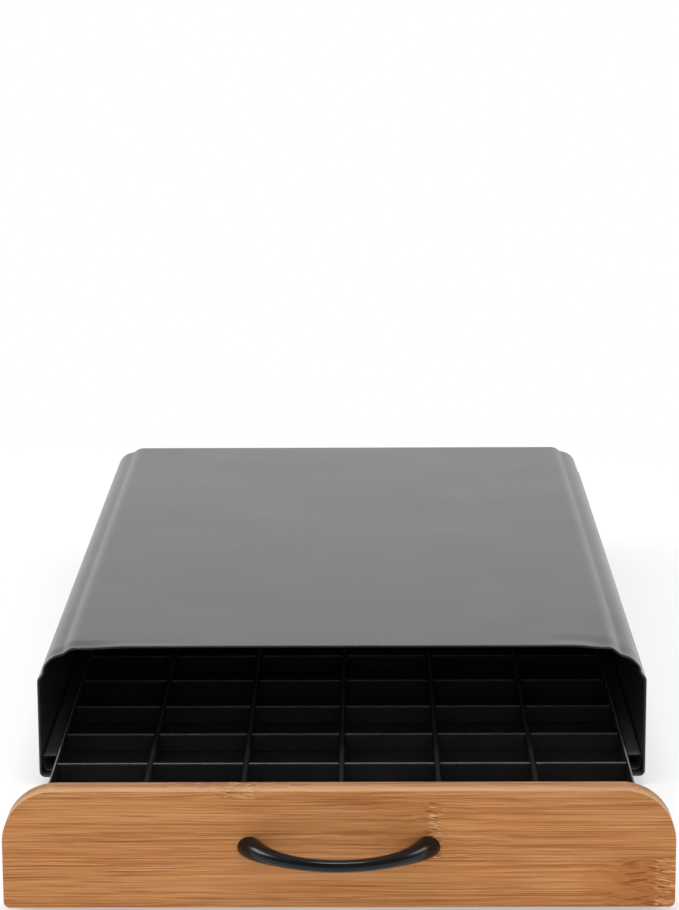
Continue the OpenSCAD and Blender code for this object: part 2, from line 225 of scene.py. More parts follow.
def blackSteel(name, slot, rough, peel=1.0, shade=1.0, rubbed=0.0, outside=0.0, shine=0.42, paintedLightAndShade=""):
    # peel and shade scale the paint's skin and tone, rubbed is how far the rims are rubbed to the
    # primer, which is wear and also a painted highlight along them, outside how far across (mm) that
    # starts, and the last argument names the faces where light is painted in ('inside') and where
    # shade is ('outside')
    f = Finish(name, slot, Specular_IOR_Level=shine)
    place = f.place()
    cloud = f.noise(place, 0.014, 3.0, 0.6)
    speck = f.between(f.noise(place, 2.6, 1.0), 0.68, 0.76)
    smear = f.noise(f.stretched(place, (0.012, 0.030, 0.030)), 1.0, 3.0, 0.65)
    coat = paint(*blackPaint["colour"], shade)
    tone = f.mix(f.between(cloud, 0.35, 0.7), coat, paint(*blackPaint["thin"], shade))
    tone = f.mix(speck * 0.25, tone, paint(*blackPaint["dust"]))
    roughness = (smear - 0.5) * 0.08 + speck * 0.1 + rough
    # the rubbed rims are real wear and also a painted highlight along the rims
    if rubbed:
        height = f.split(place)[2] + (f.noise(place, 0.35, 3.0, 0.6) - 0.5) * 0.7
        bareRimHighlight = f.between(height, blackPaint["rim"] - 0.9, blackPaint["rim"] + 0.1) * rubbed
        if outside:
            bareRimHighlight = bareRimHighlight * f.between(f.size(f.split(place)[0]), outside - 0.3, outside)
        tone = f.mix(bareRimHighlight, tone, paint(*blackPaint["wornRimHighlight"]))
        roughness = roughness + bareRimHighlight * 0.06
    if paintedLightAndShade:
        facing = f.add("NewGeometry", output="Normal")
    if paintedLightAndShade == "inside":
        # the faces turned to the middle of the housing are painted lighter: painted light inside the
        # housing
        away = f.add("VectorMath", {0: place, 1: middleOfHousing}, operation="SUBTRACT")
        aside = f.stretched(away, (1, 0, 1))
        turned = f.add("VectorMath", {0: aside, 1: facing}, operation="DOT_PRODUCT")
        inner = f.between(turned.out("Value"), -2.0, -6.0)
        tone = f.mix(inner, tone, paint(*blackPaint["thin"], 2.2))
    if paintedLightAndShade == "outside":
        # the cut ends, turned to the front and back, are painted near black: painted shade
        ends = f.between(f.size(f.split(facing)[1]), 0.3, 0.9)
        tone = f.mix(ends, tone, paint(*blackPaint["colour"], 0.4))
    wave = f.noise(place, blackPaint["peel"], 1.5, 0.45)
    grain = f.noise(place, 4.2, 1.0)
    return f.coated(tone, roughness, wave + grain * 0.1, blackPaint["peelDepth"] * peel)


bamboo = {
    "strip": 23.5,  # mm, height of one strip of bamboo
    "seam": -0.3,  # mm, height at which the lowest strip starts
    # for each strip from below: its node's start across and width (mm), how dark the wood before it is
    "knots": ((119.8, 14.0, 1.0), (34.2, 5.0, 0.34), (-43.0, 12.0, 0.30)),
    "darkBefore": 34.0,  # mm of darker wood before a node
    "rippleReach": 46.0,  # mm to each side of a node
    "ripple": 2.0,  # mm up and down
    "wander": 2.4,  # mm up and down, everywhere
    "relief": 0.04,  # mm
    "sandedHighlight": paint(0.590, 0.350, 0.160),  # the rounded edges near the front, paler from sanding and with a painted highlight
    "paintedTopShade": paint(0.62, 0.63, 0.66),  # painted shade on the top of the board behind its front edge
    "light": paint(0.602, 0.297, 0.112),
    "middle": paint(0.560, 0.240, 0.078),
    "dark": paint(0.410, 0.148, 0.037),
    "line": paint(0.215, 0.052, 0.005),
    "fleck": paint(0.720, 0.420, 0.190),
    "pore": paint(0.330, 0.145, 0.050),
}
# dark fibres: waves in a mm across and up, how dark, and a shift
bambooFibres = (
    (0.010, 2.7, 0.38, 0.0),
    (0.016, 3.6, 0.49, 7.0),
    (0.028, 4.6, 0.51, 15.0),
    (0.050, 5.6, 0.43, 31.0),
)
# long thin lines: waves in a mm across and up, how thin, and a shift
bambooVeins = (
    (0.0040, 0.62, 0.028, 3.0),
    (0.0065, 0.90, 0.036, 19.0),
)


def bambooStrips():
    f = Finish("bamboo", "bamboo", Specular_IOR_Level=0.22)
    x, y, z = f.split(f.place())
    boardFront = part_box("bamboo_front")[0].y / mm
    strips = (z - bamboo["seam"]) / bamboo["strip"]
    strip = f.maths("FLOOR", strips)
    seed = strip * 37.1 + 13.0
    knot = 0.0
    wide = 0.0
    gloom = 0.0
    for number, (start, width, share) in enumerate(bamboo["knots"]):
        here = f.maths("COMPARE", strip, number, 0.4)
        knot = here * start + knot
        wide = here * width + wide
        gloom = here * share + gloom
    past = x - knot  # mm past the start of the strip's own node
    before = f.maths("LESS_THAN", past, 0.0)
    near = f.between(f.size(past), bamboo["rippleReach"], 3.0)
    # fibres bend a little everywhere and ripple beside a node
    wander = f.noiseAt(x * 0.011 + seed, y * 0.02, z * 0.03, 1.0) - 0.5
    ripple = f.noiseAt(x * 0.11 + seed, y * 0.05, z * 0.24, 0.0) - 0.5
    up = z + wander * bamboo["wander"] + ripple * near * bamboo["ripple"]
    band = f.noiseAt(x * 0.010 + seed, y * 0.2, up * 0.30, 2.0)
    tone = f.mix(f.between(band, 0.30, 0.64), bamboo["middle"], bamboo["light"])
    fine = f.noiseAt(x * 0.10 - seed, y * 3.0, up * 4.2, 2.0, 0.6)
    tone = f.mix(f.between(fine, 0.48, 0.72) * 0.36, tone, bamboo["dark"])
    dense = f.noiseAt(x * 0.012 - seed, y * 0.1, up * 0.16, 1.0)
    dense = f.between(dense, 0.38, 0.58, 0.5, 1.0)
    for across, high, share, shift in bambooFibres:
        fibre = f.noiseAt(x * across + seed, y * 0.8, up * high + shift, 0.0)
        tone = f.mix(f.between(fibre, 0.605, 0.645) * dense * share, tone, bamboo["line"])
    # long thin lines run where a slow noise passes its middle
    for across, high, thin, shift in bambooVeins:
        vein = f.noiseAt(x * across + seed, y * 0.3, up * high + shift, 0.0)
        vein = f.between(f.size(vein - 0.5), thin, thin * 0.35)
        strong = f.noiseAt(x * across * 2.2 - seed, y * 0.2, up * high + shift * 2.0, 0.0)
        tone = f.mix(vein * f.between(strong, 0.40, 0.62) * 0.5, tone, bamboo["line"])
    # darker wood with wavy lines runs up to a node
    shade = f.between(past, -bamboo["darkBefore"], -3.0) * before * gloom
    tone = f.mix(shade * 0.88, tone, bamboo["dark"])
    wavy = f.noiseAt(x * 0.13 + seed, y * 0.6, up * 1.9, 1.0, 0.4)
    tone = f.mix(f.between(wavy, 0.54, 0.61) * shade * 0.85, tone, bamboo["line"])
    # short slanted fibres in the node itself, pale ones and dark ones
    lean = z + past * 0.12 + ripple * 1.2
    chop = f.noiseAt(x * 0.17 + seed, y * 0.5, lean * 1.9, 1.0, 0.4)
    chip = f.noiseAt(x * 0.26 - seed, y * 0.5, lean * 2.1, 1.0, 0.4)
    inside = f.between(past, -1.2, 0.6) * f.between(past - wide, 0.8, -1.6)
    rim = f.between(f.size(past + wander * 2.0), 5.0, 0.5)
    tone = f.mix(inside * 0.35, tone, bamboo["dark"])
    tone = f.mix((inside * 0.8 + rim) * f.between(chip, 0.53, 0.60) * 0.6, tone, bamboo["line"])
    tone = f.mix((inside + rim * 0.2) * f.between(chop, 0.57, 0.63) * 0.8, tone, bamboo["fleck"])
    # each strip has its own tone, and a hairline of glue lies between two strips
    own = f.add("TexWhiteNoise", {"W": seed}, noise_dimensions="1D")
    tone = f.mix(own * 0.14, tone, bamboo["dark"])
    joint = (strips - f.maths("ROUND", strips)) * bamboo["strip"]
    glue = f.between(f.size(joint), 0.22, 0.05)
    tone = f.mix(glue * 0.4, tone, bamboo["line"])
    # edges are paler from sanding and carry a painted highlight, most of all the front one, and the
    # sawn ends show pores
    facingX, facingY, facingZ = f.split(f.add("NewGeometry", output="Normal"))
    sandedHighlight = f.between(f.size(facingY), 0.86, 0.45) * f.between(y - boardFront, 9.0, 2.0, 0.05, 0.55)
    tone = f.mix(sandedHighlight, tone, bamboo["sandedHighlight"])
    # painted shade: the top of the board is darker behind its front edge
    behind = f.between(facingZ, 0.25, 0.70) * f.between(y - boardFront, 4.5, 8.0, 0.3, 1.0)
    tone = f.mix(behind, tone, bamboo["paintedTopShade"], "MULTIPLY")
    sawn = f.between(f.size(facingX), 0.7, 0.98)
    pores = f.between(f.noiseAt(0.0, y * 2.6, z * 2.6, 2.0), 0.52, 0.66)
    tone = f.mix(sawn * pores * 0.5, tone, bamboo["pore"])
    dips = fibre * -0.4 + fine * 0.5 - glue * 0.8 - inside * chop * 0.5
    return f.coated(tone, 0.5 + fine * 0.1 - band * 0.06, dips, bamboo["relief"])


handleCoat = {
    "colour": paint(0.0042, 0.0046, 0.0050),
    "rubbed": paint(0.0100, 0.0106, 0.0112),
    "relief": 0.010,  # mm
}


def handleBlack():
    f = Finish("handleBlack", "handle_black", Specular_IOR_Level=0.26)
    place = f.place()
    cloud = f.noise(place, 0.09, 3.0, 0.6)
    grain = f.noise(place, 3.4, 2.0)
    scuff = f.between(f.noise(f.stretched(place, (0.06, 0.3, 0.9)), 1.0, 3.0), 0.60, 0.75)
    tone = f.mix(f.between(cloud, 0.4, 0.75) * 0.5, handleCoat["colour"], handleCoat["rubbed"])
    roughness = 0.17 + (cloud - 0.5) * 0.07 + scuff * 0.06
    return f.coated(tone, roughness, grain * 0.4 + cloud * 0.6, handleCoat["relief"])


zincPlate = {"clear": paint(0.62, 0.64, 0.67), "yellowed": paint(0.60, 0.56, 0.46), "relief": 0.01}


def zincSteel():
    f = Finish("zincSteel", "zinc_steel", Metallic=1.0)
    place = f.place()
    cloud = f.noise(place, 0.32, 3.0, 0.6)
    scratch = f.noise(f.stretched(place, (0.9, 9.0, 0.9)), 1.0, 2.0)
    tone = f.mix(f.between(cloud, 0.45, 0.75), zincPlate["clear"], zincPlate["yellowed"])
    roughness = 0.3 + cloud * 0.14 + scratch * 0.06
    return f.coated(tone, roughness, scratch + cloud * 0.5, zincPlate["relief"])


rubberSkin = {"fresh": paint(0.022, 0.022, 0.023), "dusty": paint(0.060, 0.058, 0.055), "relief": 0.04}


def blackRubber():
    f = Finish("rubber", "rubber")
    place = f.place()
    cloud = f.noise(place, 0.26, 4.0, 0.6)
    tone = f.mix(f.between(cloud, 0.45, 0.75), rubberSkin["fresh"], rubberSkin["dusty"])
    return f.coated(tone, 0.72 + cloud * 0.2, f.noise(place, 2.6, 3.0), rubberSkin["relief"])


nylonSkin = {"clean": paint(0.74, 0.73, 0.69), "rubbed": paint(0.50, 0.49, 0.46), "relief": 0.012}


def naturalNylon():
    f = Finish("nylon", "nylon", Subsurface_Weight=0.15, Subsurface_Scale=0.001)
    place = f.place()
    wear = f.between(f.noise(f.stretched(place, (0.9, 0.04, 0.9)), 1.0, 3.0), 0.55, 0.72)
    tone = f.mix(wear * 0.6, nylonSkin["clean"], nylonSkin["rubbed"])
    return f.coated(tone, 0.4 + wear * 0.15, f.noise(place, 1.8, 2.0), nylonSkin["relief"])


shellLow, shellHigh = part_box("housing_shell")
middleOfHousing = tuple((shellLow + shellHigh) / 2 / mm)
# the housing's inner faces are painted lighter, as painted light
housingPaint = blackSteel("housingPaint", "housing_paint", 0.25, paintedLightAndShade="inside")
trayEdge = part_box("drawer_pan")[1].x / mm - blackPaint["rubbedWide"]
# the tray's and cross dividers' rubbed rims are wear and also a painted highlight
trayPaint = blackSteel("trayPaint", "drawer_paint", 0.28, 0.7, rubbed=0.8, outside=trayEdge)
crossPaint = blackSteel("crossPaint", "drawer_paint", 0.28, 0.7, rubbed=0.36)
longPaint = blackSteel("longPaint", "drawer_paint", 0.34, 0.7, shine=0.20)
innerPaint = blackSteel("innerPaint", "inner_paint", 0.42, 1.2, 4.6)
# the runner's coat is painted eight times lighter, as painted light inside the housing, and its ends
# near black, as painted shade
runnerPaintedLight = blackSteel("runnerPaintedLight", "inner_paint", 0.42, 1.2, 8.0, shine=0.08, paintedLightAndShade="outside")
rivetPaint = blackSteel("rivetPaint", "rivet_black", 0.32, 0.5)
boardBamboo = bambooStrips()
handlePaint = handleBlack()
zinc = zincSteel()
rubber = blackRubber()
nylon = naturalNylon()
print("finishes mixed")


def settle(mesh, name, body, nodes, finish, edge=0.0, steps=3, sharp=38, crisp=False):
    # makes a piece of a mesh: rounded edges, smooth shading, its body, nodes and finish
    bmesh.ops.recalc_face_normals(mesh, faces=mesh.faces)
    data = bpy.data.meshes.new(name)
    mesh.to_mesh(data)
    mesh.free()
    data.materials.append(finish.material)
    data.shade_smooth()
    if crisp:
        data.set_sharp_from_angle(angle=math.radians(sharp))
    piece = placed(name, data)
    if edge:
        rounding = piece.modifiers.new("roundedEdges", "BEVEL")
        rounding.width = edge * mm
        rounding.segments = steps
        rounding.limit_method = "ANGLE"
        rounding.angle_limit = math.radians(sharp)
    weights = piece.modifiers.new("flatFaces", "WEIGHTED_NORMAL")
    weights.weight = 100
    weights.keep_sharp = crisp
    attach(piece, body)
    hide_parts(*nodes)


def shaped(mesh, tools, operation="UNION"):
    # a closed form joined with others or cut by them
    forms = []
    for form in [mesh] + tools:
        bmesh.ops.recalc_face_normals(form, faces=form.faces)
        data = bpy.data.meshes.new("form")
        form.to_mesh(data)
        form.free()
        forms.append(placed("form", data))
    for other in forms[1:]:
        step = forms[0].modifiers.new("step", "BOOLEAN")
        step.operation = operation
        step.solver = "EXACT"
        step.object = other
    seen = forms[0].evaluated_get(bpy.context.evaluated_depsgraph_get())
    result = bmesh.new()
    result.from_mesh(seen.to_mesh())
    seen.to_mesh_clear()
    for form in forms:
        bpy.data.meshes.remove(form.data)
    bmesh.ops.remove_doubles(result, verts=result.verts, dist=2 * tiny)
    bmesh.ops.dissolve_degenerate(result, dist=2 * tiny, edges=result.edges)
    nearlyFlat = math.radians(0.1)
    bmesh.ops.dissolve_limit(result, angle_limit=nearlyFlat, verts=result.verts, edges=result.edges)
    return result


def turnedTo(plane, a, b, along):
    # a point of a flat outline, set at a place along the plane's normal
    return {"xz": (a, along, b), "yz": (along, a, b), "xy": (a, b, along)}[plane]


def filleted(corners, steps=8):
    # corners are (a, b, radius); gives the path's points with each corner rounded
    path = []
    for i, (a, b, radius) in enumerate(corners):
        here = Vector((a, b))
        if radius == 0:
            path.append(here)
            continue
        back = (Vector(corners[i - 1][:2]) - here).normalized()
        onward = (Vector(corners[(i + 1) % len(corners)][:2]) - here).normalized()
        half = back.angle(onward) / 2
        centre = here + (back + onward).normalized() * (radius / math.sin(half))
        spoke = here + back * (radius / math.tan(half)) - centre
        turn = math.copysign(math.pi - 2 * half, back.x * onward.y - back.y * onward.x)
        for step in range(steps + 1):
            angle = -turn * step / steps
            swung = Vector((
                spoke.x * math.cos(angle) - spoke.y * math.sin(angle),
                spoke.x * math.sin(angle) + spoke.y * math.cos(angle),
            ))
            path.append(centre + swung)
    return path


def outwards(path):
    # the normals on the left of a path
    normals = []
    last = len(path) - 1
    for i in range(len(path)):
        ahead = (path[min(i + 1, last)] - path[max(i - 1, 0)]).normalized()
        normals.append(Vector((-ahead.y, ahead.x)))
    return normals


def tube(mesh, loops):
    # faces between loops of the same size, closed at both ends
    count = len(loops[0])
    for one, other in zip(loops, loops[1:]):
        for k in range(count):
            after = (k + 1) % count
            mesh.faces.new((one[k], one[after], other[after], other[k]))
    mesh.faces.new(loops[0])
    mesh.faces.new(reversed(loops[-1]))


def bentSheet(mesh, path, thick, start, end, edge, cuts=()):
    # a sheet whose outer face follows the path, from start to end across the plane;
    # cuts are the places past the start where its faces are divided, the furthest first
    corner = edge * mm
    steps = 3
    ring = []
    for deep, along, first in (
        (corner, end - corner, 90),
        (corner, start + corner, 180),
        (thick - corner, start + corner, 270),
        (thick - corner, end - corner, 0),
    ):
        if first == 180:
            ring += [(0, start + cut) for cut in cuts]
        if first == 0:
            ring += [(thick, start + cut) for cut in reversed(cuts)]
        for step in range(steps + 1):
            angle = math.radians(first + 90 * step / steps)
            ring.append((deep + corner * math.cos(angle), along + corner * math.sin(angle)))
    loops = []
    for point, normal in zip(path, outwards(path)):
        loop = []
        for deep, along in ring:
            flat = point - normal * deep
            loop.append(mesh.verts.new((flat.x, along, flat.y)))
        loops.append(loop)
    tube(mesh, loops)


def slab(mesh, outline, start, end, plane="xz"):
    # a flat outline made solid from start to end; gives the corners at the start
    low = [mesh.verts.new(turnedTo(plane, p[0], p[1], start)) for p in outline]
    high = [mesh.verts.new(turnedTo(plane, p[0], p[1], end)) for p in outline]
    mesh.faces.new(low)
    mesh.faces.new(reversed(high))
    for k in range(len(outline)):
        after = (k + 1) % len(outline)
        mesh.faces.new((low[after], low[k], high[k], high[after]))
    return low


def rectangle(lowA, highA, lowB, highB, radius=0.0, steps=6):
    sides = ((lowA, lowB), (highA, lowB), (highA, highB), (lowA, highB))
    return filleted([(a, b, radius) for a, b in sides], steps)


def frontOutline(low, high, lowCorner, highCorner, steps):
    # a box seen from the front, its lower and upper corners rounded (mm)
    return filleted([
        (low.x, low.z, lowCorner * mm),
        (high.x, low.z, lowCorner * mm),
        (high.x, high.z, highCorner * mm),
        (low.x, high.z, highCorner * mm),
    ], steps)


def lathed(mesh, profile, centre, axis, steps):
    # profile is (radius, height) from one end to the other; a radius of 0 closes an end
    across = axis.orthogonal().normalized()
    other = axis.cross(across)
    loops = []
    for radius, height in profile:
        middle = centre + axis * height
        if radius == 0:
            loops.append([mesh.verts.new(middle)])
            continue
        loop = []
        for step in range(steps):
            angle = 2 * math.pi * step / steps
            spoke = across * math.cos(angle) + other * math.sin(angle)
            loop.append(mesh.verts.new(middle + spoke * radius))
        loops.append(loop)
    for one, two in zip(loops, loops[1:]):
        for k in range(steps):
            after = (k + 1) % steps
            if len(one) == 1:
                mesh.faces.new((one[0], two[after], two[k]))
            elif len(two) == 1:
                mesh.faces.new((one[k], one[after], two[0]))
            else:
                mesh.faces.new((one[k], one[after], two[after], two[k]))


def roundEdges(mesh, edges, radius, steps):
    bmesh.ops.bevel(mesh, geom=edges, offset=radius * mm, segments=steps, profile=0.5, affect="EDGES")


def dome(radius, low, high, steps=6):
    # profile of a rounded head that starts at its rim and ends on the axis
    tall = high - low
    points = []
    for step in range(steps + 1):
        angle = math.pi / 2 * step / steps
        points.append((radius * math.cos(angle), low + tall * math.sin(angle)))
    points[-1] = (0, high)
    return points


upwards = Vector((0, 0, 1))
halfWidth = shellHigh.x
roof = shellHigh.z
under = shellLow.z
housingFront = shellLow.y
housingBack = shellHigh.y

housing = {
    "sheet": 1.0,  # mm
    "shoulderTop": (14.4, 0.0),  # mm in from the side and down from the top: where the flat top ends
    "shoulderCrest": (11.0, 2.3),
    "shoulderCorner": (3.3, 4.0),
    "shoulderFoot": (2.1, 12.4),
    "shoulderSide": (0.0, 15.1),  # where the flat side starts
    "bends": (7.0, 4.0, 9.0, 2.4, 2.2),  # radii from the top to the side
    "lowBend": 2.5,
    "turnedIn": 26.0,
    "edge": 0.42,  # rounding of the cut edges under the paint
    "endEdge": 0.2,  # rounding of the turned-in edges
    "dividedTop": range(57, 112, 3),  # distances from the middle at which the top is divided
}
# the sheet sags near its front corners, on the left (-1) and right (1). Each sag has, in mm, where it
# starts and is full across, where behind the front edge it ends and is full, and how far it goes down
sags = {
    -1: (
        (91.0, 109.0, 10.5, 1.5, 0.68),
        (88.0, 109.0, 45.0, 3.0, 0.07),
        (113.0, 121.0, 70.0, 4.0, 0.40),
    ),
    1: (
        (98.0, 112.0, 16.0, 2.0, 0.60),
        (99.0, 113.0, 60.0, 4.0, 0.35),
        (113.0, 121.0, 95.0, 6.0, 1.10),
    ),
}
# a shallow dent lies behind each sag: it deepens and rises across, and again towards the front edge
dents = {
    -1: {
        "across": (58.0, 76.0, 92.0, 102.0),
        "behind": (11.5, 5.0, 4.5, 0.5),
        "deep": 0.12,
        "rise": 0.6,  # how much of its depth is gone at the front edge, 1 for all
    },
    1: {
        "across": (84.0, 95.0, 104.0, 112.0),
        "behind": (17.5, 9.0, 8.5, 0.5),
        "deep": 0.24,
        "rise": 1.0,
    },
}
sagFades = (5.0, 13.0)  # mm down the shoulder
sheetCuts = (
    96.0, 84.0, 72.0, 60.0, 50.0, 40.0, 32.0, 26.0, 22.0, 19.0, 17.0, 15.0,
    13.5, 12.0, 10.5, 9.0, 7.8, 6.6, 5.4, 4.2, 3.0, 2.0, 1.1,
)  # mm behind the front edge, where the sheet is divided


def housingPath():
    # outer face of the sheet, seen from the front, from the left turned-in edge to the right
    half = []
    turns = ("shoulderTop", "shoulderCrest", "shoulderCorner", "shoulderFoot", "shoulderSide")
    for turn, bend in zip(turns, housing["bends"]):
        across, down = housing[turn]
        half.append((halfWidth - across * mm, roof - down * mm, bend * mm))
    half.append((halfWidth, under, housing["lowBend"] * mm))
    half.append((halfWidth - housing["turnedIn"] * mm, under, 0))
    left = [(-a, b, r) for a, b, r in reversed(half)]
    return filleted(left + half, 10)


def eased(value, low, high):
    # 0 at low, 1 at high, with soft ends
    share = min(1.0, max(0.0, (value - low) / (high - low)))
    return share * share * (3 - 2 * share)


def sagAt(point):
    # how far the shell is pulled down at a point
    side = -1 if point.x < 0 else 1
    across = abs(point.x) / mm
    behind = (point.y - housingFront) / mm
    down = (roof - point.z) / mm
    pulled = 0
    for low, high, far, near, much in sags[side]:
        pulled += much * eased(across, low, high) * eased(behind, far, near)
    pulled *= 1 - eased(down, *sagFades)
    dent = dents[side]
    low, rising, falling, high = dent["across"]
    far, bottom, turn, near = dent["behind"]
    share = eased(across, low, rising) * (1 - eased(across, falling, high))
    share *= eased(behind, far, bottom) - dent["rise"] * eased(behind, turn, near)
    return (pulled + dent["deep"] * share) * mm


def makeShell():
    mesh = bmesh.new()
    path = housingPath()
    # the flat top is divided near its sides, where it sags
    first = max(i for i, p in enumerate(path) if p.x < -halfWidth / 2 and p.y > roof - 10 * tiny)
    inside = [x * mm for x in housing["dividedTop"]]
    flat = [-x for x in reversed(inside)] + inside
    path[first + 1:first + 1] = [Vector((x, roof)) for x in flat]
    cuts = [cut * mm for cut in sheetCuts]
    bentSheet(mesh, path, housing["sheet"] * mm, housingFront, housingBack, housing["edge"], cuts=cuts)
    for vertex in mesh.verts:
        vertex.co.z -= sagAt(vertex.co)
    edge = housing["endEdge"]
    settle(mesh, "housingShell", "housing", ["housing_shell"], housingPaint, edge, steps=2, sharp=60)


backPanel = {"gap": 0.15, "edge": 0.3, "flangeWide": 28.0}  # mm


def makeBack():
    low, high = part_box("back_panel")
    deep = (housing["sheet"] + backPanel["gap"]) * mm
    sheet = housing["sheet"] * mm
    path = housingPath()
    outline = [p - n * deep for p, n in zip(path, outwards(path))]
    mesh = bmesh.new()
    slab(mesh, outline, high.y - sheet, high.y)
    rivetLow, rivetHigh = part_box("side_rivets")
    middle = (rivetLow.z + rivetHigh.z) / 2
    wide = backPanel["flangeWide"] * mm / 2
    flanges = []
    for side in (-1, 1):
        sides = sorted((high.x * side, high.x * side - sheet * side))
        box = rectangle(*sides, middle - wide, middle + wide)
        flanges.append(bmesh.new())
        slab(flanges[-1], box, low.y, high.y - sheet / 2)
    panel = shaped(mesh, flanges)
    settle(panel, "backPanel", "housing", ["back_panel"], housingPaint, backPanel["edge"])


rivet = {
    "rim": 3.0,  # mm, radius of the wide head
    "tail": 2.5,  # radius of the other head
    "shaft": 1.6,  # radius
    "head": 0.9,  # height of a head
    "sides": 40,
}


def rivetProfile(first, start, second, end):
    # two domed heads on a shaft that runs from start to end
    head = rivet["head"] * mm
    shaft = rivet["shaft"] * mm
    lower = [(r, 2 * start - h) for r, h in dome(rivet[first] * mm, start, start + head)]
    upper = dome(rivet[second] * mm, end, end + head)
    return lower[::-1] + [(shaft, start), (shaft, end)] + upper


def makeSideRivets():
    low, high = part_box("side_rivets")
    rim = rivet["rim"] * mm
    face = high.x - rivet["head"] * mm
    inside = face - (housing["sheet"] * 2 + backPanel["gap"]) * mm
    profile = rivetProfile("tail", inside, "rim", face)
    mesh = bmesh.new()
    for z in (low.z + rim, high.z - rim):
        for side in (-1, 1):
            centre = Vector((0, (low.y + high.y) / 2, z))
            lathed(mesh, profile, centre, Vector((side, 0, 0)), rivet["sides"])
    settle(mesh, "sideRivets", "housing", ["side_rivets"], rivetPaint)


runner = {
    "sheet": 0.8,  # mm
    "bend": 2.5,  # outer radius below
    "corner": 1.3,  # outer radius above
    "edge": 0.2,
    "endEdge": 0.12,
    "stopGap": 0.3,  # between a glide and a stop tab, at the end of the drawer's way
    "tabCorner": 0.8,
    "tabGap": 0.1,  # between a tab's sides and the faces of the channel
}


def makeRunner(node, name, side):
    low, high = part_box(node)
    inner = min(abs(low.x), abs(high.x))
    outer = max(abs(low.x), abs(high.x))
    path = filleted([
        (inner, low.z, 0),
        (outer, low.z, runner["bend"] * mm),
        (outer, high.z, runner["corner"] * mm),
        (inner, high.z, 0),
    ])
    if side < 0:
        path = [Vector((-p.x, p.y)) for p in path]
    else:
        path.reverse()
    mesh = bmesh.new()
    bentSheet(mesh, path, runner["sheet"] * mm, low.y, high.y, runner["edge"])
    # the two stop tabs, folded across the channel
    glideLow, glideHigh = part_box("rear_glide_right")
    drawerTravel = frame["joints"][0]["range_m"]
    gap = runner["stopGap"] * mm
    tab = runner["sheet"] * mm
    room = runner["tabGap"] * mm
    sides = sorted((inner * side, (outer - room) * side))
    outline = rectangle(*sides, low.z + room, high.z - room, runner["tabCorner"] * mm, 3)
    for start in (glideLow.y - drawerTravel[1] - gap - tab, glideHigh.y - drawerTravel[0] + gap):
        slab(mesh, outline, start, start + tab)
    settle(mesh, name, "housing", [node], runnerPaintedLight, runner["endEdge"], steps=2, sharp=60)


brace = {"corner": 4.0, "edge": 0.25}  # mm


def makeBrace(node, name):
    low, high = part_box(node)
    outline = rectangle(low.x, high.x, low.y, high.y, brace["corner"] * mm, 8)
    mesh = bmesh.new()
    slab(mesh, outline, low.z, high.z, "xy")
    settle(mesh, name, "housing", [node], innerPaint, brace["edge"])


foot = {
    "recess": 3.8,  # mm, radius
    "hole": 1.65,  # radius
    "draft": 0.6,  # how much narrower the foot is at the floor
    "lip": 0.5,  # how wide its edges are rounded
    "sides": 56,
}


def makeFoot(node, name):
    low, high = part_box(node)
    top = (high.x - low.x) / 2
    bottom = top - foot["draft"] * mm
    tall = high.z - low.z
    seat = tall / 2
    lip = foot["lip"] * mm
    recess = foot["recess"] * mm
    hole = foot["hole"] * mm
    # shares of the lip round the edges
    profile = [
        (hole, seat),
        (recess - lip, seat),
        (recess, seat - lip * 0.6),
        (recess, lip * 0.6),
        (recess + lip * 0.5, lip * 0.12),
        (recess + lip, 0),
        (bottom - lip, 0),
        (bottom - lip * 0.3, lip * 0.15),
        (bottom, lip * 0.7),
        (top - lip * 0.1, tall - lip * 0.5),
        (top - lip * 0.5, tall),
        (hole, tall),
        (hole, seat),
    ]
    centre = Vector(((low.x + high.x) / 2, (low.y + high.y) / 2, low.z))
    mesh = bmesh.new()
    lathed(mesh, profile, centre, upwards, foot["sides"])
    bmesh.ops.remove_doubles(mesh, verts=mesh.verts, dist=tiny)
    settle(mesh, name, "housing", [node], rubber)


def makeFootRivets():
    low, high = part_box("foot_rivets")
    rim = rivet["rim"] * mm
    head = rivet["head"] * mm
    profile = rivetProfile("rim", low.z + head, "tail", high.z - head)
    mesh = bmesh.new()
    for y in (low.y + rim, high.y - rim):
        for side in (-1, 1):
            lathed(mesh, profile, Vector((side * (high.x - rim), y, 0)), upwards, rivet["sides"])
    settle(mesh, "footRivets", "housing", ["foot_rivets"], zinc)


glide = {
    "edge": 0.35,  # mm
    "padCorner": 1.2,
    "lowCorner": 1.3,
    "highCorner": 0.5,
    "peg": 1.5,  # radius
    "pegRoot": 0.5,  # how deep a peg sits in its glide
    "pegTip": 0.2,  # how tall a peg's slanted tip is
    "frontTip": 0.3,  # how much narrower a front glide's peg is at its tip
    "rearTip": 0.25,
    "pegUp": 1.3,  # from the tray's underside to the rear glides' pegs
    "pegShares": (0.25, 0.75),  # where the pegs sit along a rear glide
    "pegSides": 32,
}


def makeFrontGlide(node, name):
    low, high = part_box(node)
    pad = under + housing["sheet"] * mm
    outline = rectangle(low.x, high.x, low.y, high.y, glide["padCorner"] * mm, 5)
    mesh = bmesh.new()
    slab(mesh, outline, pad, high.z, "xy")
    middle = Vector(((low.x + high.x) / 2, (low.y + high.y) / 2, 0))
    peg = glide["peg"] * mm
    root = pad + glide["pegRoot"] * mm
    narrow = peg - glide["frontTip"] * mm
    rise = low.z + glide["pegTip"] * mm
    profile = [(0, low.z), (narrow, low.z), (peg, rise), (peg, root), (0, root)]
    lathed(mesh, profile, middle, upwards, glide["pegSides"])
    settle(mesh, name, "housing", [node], nylon, glide["edge"], sharp=60)


